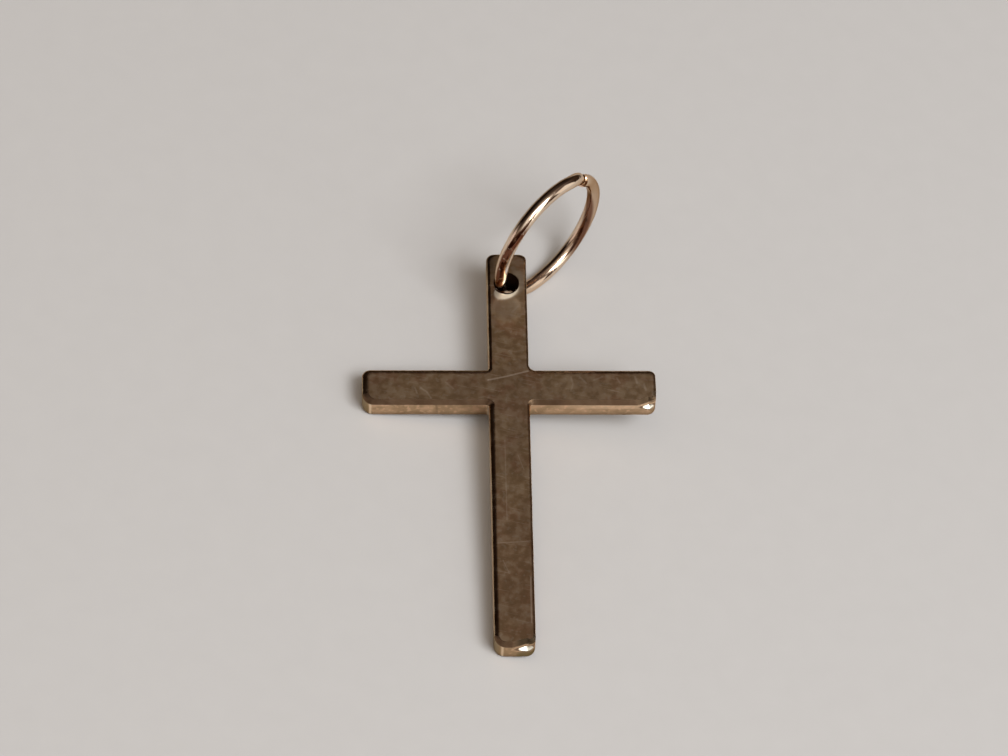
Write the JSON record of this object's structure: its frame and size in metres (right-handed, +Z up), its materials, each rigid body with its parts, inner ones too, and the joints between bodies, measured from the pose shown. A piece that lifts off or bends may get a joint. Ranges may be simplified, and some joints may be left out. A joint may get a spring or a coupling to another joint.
{
  "type": "cross pendant",
  "caption": "Small flat gold cross with rounded edges, drilled near the top of its post and hung on a round jump ring that takes a neck chain. It lies on its back.",
  "frame": {"origin": "on the table, under the middle of the whole object's box", "axes": "+Z up from the table; -Y towards the foot of the cross and +Y towards its top and the ring; +X towards its right arm, seen from the front"},
  "size_m": [0.012, 0.0216, 0.0062],
  "materials": {
    "cross_gold": "polished yellow gold, worn: fine scratches, small dents, dull mottling",
    "ring_gold": "polished drawn gold wire, slightly rosier than the cross"
  },
  "bodies": {
    "root": {"cross": "cross_gold", "jump_ring": "ring_gold"}
  },
  "joints": []
}
